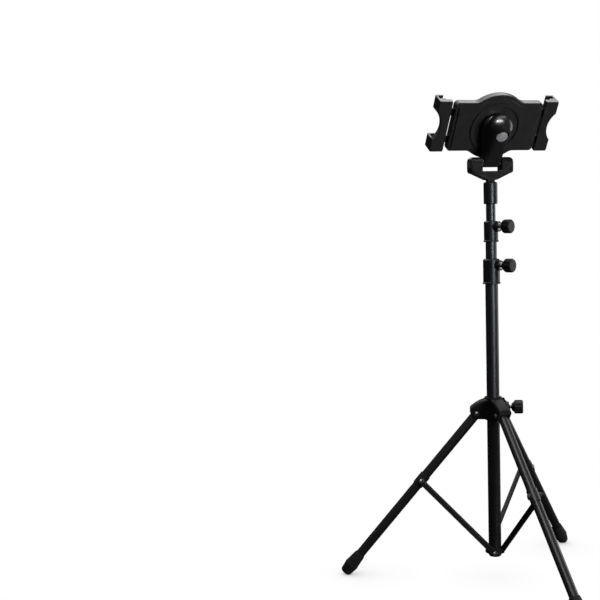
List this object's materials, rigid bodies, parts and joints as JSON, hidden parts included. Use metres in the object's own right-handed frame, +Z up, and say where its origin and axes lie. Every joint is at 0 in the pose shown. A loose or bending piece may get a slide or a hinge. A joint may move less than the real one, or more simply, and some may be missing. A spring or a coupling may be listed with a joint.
{
  "type": "adjustable tablet floor stand",
  "caption": "Black folding tripod stand with a clamped telescopic mast and a tilting, turning tablet holder with geared sliding arms.",
  "frame": {"origin": "middle of the three feet's footprint, on the floor", "axes": "+Z up along the mast, -Y the way the holder's front faces, +X to the right seen from the front"},
  "size_m": [0.4226, 0.3854, 0.7508],
  "materials": {
    "painted_tube": "satin black stove enamel",
    "moulded_black": "fine-grained black moulding",
    "collar_black": "satin black moulding",
    "gloss_black": "gloss black moulding",
    "knob_black": "grained black moulding",
    "black_rubber": "matte black rubber",
    "bright_steel": "zinc-plated bright",
    "cap_grey": "silver-grey satin",
    "white_nylon": "natural nylon"
  },
  "bodies": {
    "base": {"main_tube": "painted_tube", "lower_crown": "moulded_black", "crown_pins": "bright_steel", "main_collar": "collar_black", "main_clamp_nut": "bright_steel"},
    "main_clamp": {"main_knob": "knob_black", "main_stud": "bright_steel"},
    "brace_1": {"brace_1": "painted_tube"},
    "brace_2": {"brace_2": "painted_tube"},
    "brace_3": {"brace_3": "painted_tube"},
    "leg_1": {"leg_1": "painted_tube", "foot_1": "black_rubber", "leg_clip_1": "painted_tube", "clip_rivet_1": "bright_steel"},
    "leg_2": {"leg_2": "painted_tube", "foot_2": "black_rubber", "leg_clip_2": "painted_tube", "clip_rivet_2": "bright_steel"},
    "leg_3": {"leg_3": "painted_tube", "foot_3": "black_rubber", "leg_clip_3": "painted_tube", "clip_rivet_3": "bright_steel"},
    "hub": {"leg_hub": "moulded_black", "hub_pins": "bright_steel", "hub_clamp_nut": "bright_steel"},
    "hub_clamp": {"hub_knob": "knob_black", "hub_stud": "bright_steel"},
    "mid_mast": {"mid_tube": "painted_tube", "mid_tube_plug": "white_nylon", "mid_collar": "collar_black", "mid_clamp_nut": "bright_steel"},
    "mid_clamp": {"mid_knob": "knob_black", "mid_stud": "bright_steel"},
    "upper_mast": {"upper_tube": "painted_tube", "upper_tube_plug": "white_nylon", "head_socket": "collar_black"},
    "yoke": {"yoke": "gloss_black", "pan_screw": "bright_steel", "tilt_bolt": "bright_steel", "tilt_nut": "bright_steel"},
    "knuckle": {"knuckle": "gloss_black", "swivel_bolt": "bright_steel", "swivel_nut": "bright_steel", "swivel_washer": "white_nylon", "swivel_cap": "cap_grey"},
    "holder": {"holder_shell": "collar_black", "holder_cover": "moulded_black", "cover_screws": "bright_steel", "holder_pads": "black_rubber"},
    "arm_left": {"arm_left": "collar_black", "arm_pads_left": "black_rubber"},
    "arm_right": {"arm_right": "collar_black", "arm_pads_right": "black_rubber"},
    "pinion": {"pinion": "white_nylon"}
  },
  "joints": [
    {"name": "leg_fold", "type": "hinge", "parent": "base", "child": "brace_1", "pos_m": [-0.00993, -0.05055, 0.04081], "axis": [-0.4258, -0.9048, 0], "range_deg": [0, 29.35]},
    {"name": "brace_2_fold", "type": "hinge", "parent": "base", "child": "brace_2", "pos_m": [-0.00993, -0.05055, 0.04081], "axis": [0.9965, 0.0837, 0], "range_deg": [0, 29.55]},
    {"name": "brace_3_fold", "type": "hinge", "parent": "base", "child": "brace_3", "pos_m": [-0.00993, -0.05055, 0.04081], "axis": [-0.5707, 0.8211, 0], "range_deg": [0, 29.55]},
    {"name": "leg_1_fold", "type": "hinge", "parent": "brace_1", "child": "leg_1", "pos_m": [0.09211, -0.09857, 0.15431], "axis": [0.4258, 0.9048, 0], "range_deg": [0, 61.65]},
    {"name": "leg_2_fold", "type": "hinge", "parent": "brace_2", "child": "leg_2", "pos_m": [-0.01937, 0.06183, 0.15431], "axis": [-0.9965, -0.0837, 0], "range_deg": [0, 61.65]},
    {"name": "leg_3_fold", "type": "hinge", "parent": "brace_3", "child": "leg_3", "pos_m": [-0.10254, -0.11492, 0.15431], "axis": [0.5707, -0.8211, 0], "range_deg": [0, 61.65]},
    {"name": "hub_rise", "type": "hinge", "parent": "leg_1", "child": "hub", "pos_m": [0.01269, -0.06119, 0.26079], "axis": [-0.4258, -0.9048, 0], "range_deg": [0, 32.2]},
    {"name": "hub_knob_turn", "type": "hinge", "parent": "hub", "child": "hub_clamp", "pos_m": [-0.00993, -0.05055, 0.27079], "axis": [-0.9048, 0.4258, 0], "range_deg": [0, 720]},
    {"name": "main_knob_turn", "type": "hinge", "parent": "base", "child": "main_clamp", "pos_m": [-0.00993, -0.05055, 0.49081], "axis": [-0.515, 0.8572, 0], "range_deg": [0, 720]},
    {"name": "mid_knob_turn", "type": "hinge", "parent": "mid_mast", "child": "mid_clamp", "pos_m": [-0.00993, -0.05055, 0.55041], "axis": [-0.515, 0.8572, 0], "range_deg": [0, 720]},
    {"name": "mid_slide", "type": "slide", "parent": "base", "child": "mid_mast", "axis": [0, 0, 1], "range_m": [-0.025, 0.3]},
    {"name": "upper_slide", "type": "slide", "parent": "mid_mast", "child": "upper_mast", "axis": [0, 0, 1], "range_m": [-0.025, 0.28]},
    {"name": "head_pan", "type": "hinge", "parent": "upper_mast", "child": "yoke", "pos_m": [-0.00993, -0.05055, 0.61861], "axis": [0, 0, 1], "continuous": true},
    {"name": "head_tilt", "type": "hinge", "parent": "yoke", "child": "knuckle", "pos_m": [-0.00993, -0.05055, 0.64761], "axis": [-1, 0, 0], "range_deg": [-22, 58]},
    {"name": "holder_turn", "type": "hinge", "parent": "knuckle", "child": "holder", "pos_m": [-0.00993, -0.02998, 0.69903], "axis": [0, 0.848, -0.5299], "range_deg": [-90, 90]},
    {"name": "arm_left_slide", "type": "slide", "parent": "holder", "child": "arm_left", "axis": [-1, 0, 0], "range_m": [-0.0048, 0.02]},
    {"name": "arm_right_slide", "type": "slide", "parent": "holder", "child": "arm_right", "axis": [1, 0, 0], "range_m": [-0.0048, 0.02]},
    {"name": "pinion_turn", "type": "hinge", "parent": "holder", "child": "pinion", "pos_m": [-0.00993, -0.04016, 0.70539], "axis": [0, -0.848, 0.5299], "range_deg": [-20, 78]}
  ],
  "couplings": [
    {"joint": "brace_2_fold", "follows": "leg_fold", "ratio": 1},
    {"joint": "brace_3_fold", "follows": "leg_fold", "ratio": 1},
    {"joint": "leg_1_fold", "follows": "leg_fold", "ratio": 2.0904},
    {"joint": "leg_2_fold", "follows": "leg_fold", "ratio": 2.0904},
    {"joint": "leg_3_fold", "follows": "leg_fold", "ratio": 2.0904},
    {"joint": "hub_rise", "follows": "leg_fold", "ratio": 1.0904},
    {"joint": "arm_right_slide", "follows": "arm_left_slide", "ratio": 1},
    {"joint": "pinion_turn", "follows": "arm_left_slide", "rad_per_m": 66.667}
  ]
}
